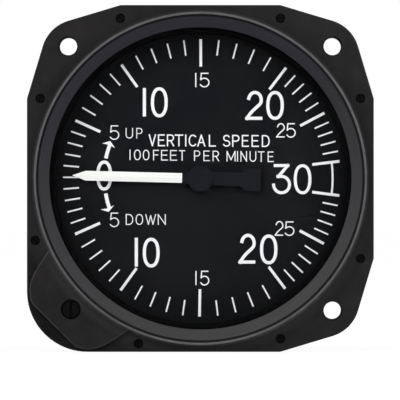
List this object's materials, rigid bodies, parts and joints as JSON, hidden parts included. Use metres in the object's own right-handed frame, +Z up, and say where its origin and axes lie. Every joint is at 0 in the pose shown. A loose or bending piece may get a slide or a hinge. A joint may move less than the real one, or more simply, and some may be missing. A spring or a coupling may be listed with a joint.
{
  "type": "vertical speed indicator",
  "caption": "Round panel instrument that shows rate of climb or descent: square flange with a round spigot, pointer over a black dial, sealed can with a capsule movement and a static port.",
  "frame": {"origin": "on the dial's axis, in the plane of the flange's front face, which bears on the back of the panel", "axes": "the dial faces -Y, +Z is up towards the top of the dial, +X is to the right of someone reading it"},
  "size_m": [0.0826, 0.0785, 0.0826],
  "materials": {
    "black_casting": "satin black paint on die-cast aluminium",
    "brushed_band": "dark brushed",
    "clear_glass": "clear",
    "black_rubber": "matte",
    "dial_black": "matte black",
    "dial_ring_metal": "turned",
    "pointer_white": "matte white",
    "pointer_black": "matte black",
    "black_screw": "black oxide steel",
    "bright_steel": "turned and polished",
    "brass": "machined",
    "spring_bronze": "rolled phosphor bronze",
    "bracket_aluminium": "folded sheet",
    "copper_tube": "drawn copper",
    "restrictor_glass": "capillary glass",
    "port_aluminium": "clear anodised"
  },
  "bodies": {
    "housing": {"bezel_ring": "brushed_band", "bracket_screws": "bright_steel", "capsule_boss": "brass", "capsule_bracket": "bracket_aluminium", "capsule_fixed_half": "spring_bronze", "capsule_moving_half": "spring_bronze", "capsule_nut": "brass", "case_body": "black_casting", "case_cover": "black_casting", "cover_gasket": "black_rubber", "cover_screws": "black_screw", "dial_plate": "dial_black", "dial_spacer": "dial_black", "dial_support_ring": "dial_ring_metal", "flange_gasket": "black_rubber", "flange_screws": "black_screw", "front_plate": "brass", "glass_gasket": "black_rubber", "hairspring": "spring_bronze", "hairspring_stud": "bright_steel", "manifold_block": "brass", "mounting_flange": "black_casting", "movement_screws": "bright_steel", "pillar_screws": "bright_steel", "pillars": "brass", "pointer_bushes": "brass", "rear_plate": "brass", "restrictor": "restrictor_glass", "rocker_bushes": "brass", "static_port_fitting": "port_aluminium", "static_tube": "copper_tube", "stop_pins": "bright_steel", "window_glass": "clear_glass", "zero_adjust_bush": "brass", "zero_adjust_o_ring": "black_rubber", "zero_pivot_post": "bright_steel"},
    "pointer": {"pointer_blade": "pointer_white", "pointer_tail": "pointer_black", "pointer_shaft": "bright_steel", "pinion": "brass", "hairspring_collet": "brass"},
    "rocker": {"rocking_shaft": "bright_steel", "sector_gear": "brass", "counterweight": "brass", "rocker_arm": "brass"},
    "capsule_centre": {"capsule_post": "spring_bronze", "link_rod": "bright_steel", "link_pin": "bright_steel"},
    "zero_screw": {"zero_adjust_screw": "black_screw", "zero_adjust_pinion": "brass"},
    "zero_lever": {"zero_adjust_lever": "bright_steel"}
  },
  "joints": [
    {"name": "rocker_turn", "type": "hinge", "parent": "housing", "child": "rocker", "pos_m": [0.02592, 0.02, -0.005], "axis": [0, 1, 0], "range_deg": [-17.1, 17.4], "stiffness_Nm_per_rad": 0.02},
    {"name": "pointer_turn", "type": "hinge", "parent": "housing", "child": "pointer", "pos_m": [0, 0.01, 0], "axis": [0, 1, 0], "range_deg": [-174.4, 171.6], "deforming": ["hairspring"]},
    {"name": "capsule_slide", "type": "slide", "parent": "housing", "child": "capsule_centre", "axis": [1, 0, 0], "range_m": [-0.0015, 0.00153], "deforming": ["capsule_moving_half"]},
    {"name": "zero_lever_turn", "type": "hinge", "parent": "housing", "child": "zero_lever", "pos_m": [-0.0185, 0.0065, -0.01869], "axis": [0, 1, 0], "range_deg": [-10, 10]},
    {"name": "zero_screw_turn", "type": "hinge", "parent": "housing", "child": "zero_screw", "pos_m": [-0.0308, 0, -0.03113], "axis": [0, 1, 0], "range_deg": [-60.5, 60.5]}
  ],
  "couplings": [
    {"joint": "pointer_turn", "follows": "rocker_turn", "ratio": -10},
    {"joint": "capsule_slide", "follows": "rocker_turn", "m_per_rad": 0.005},
    {"joint": "zero_screw_turn", "follows": "zero_lever_turn", "ratio": -6}
  ]
}
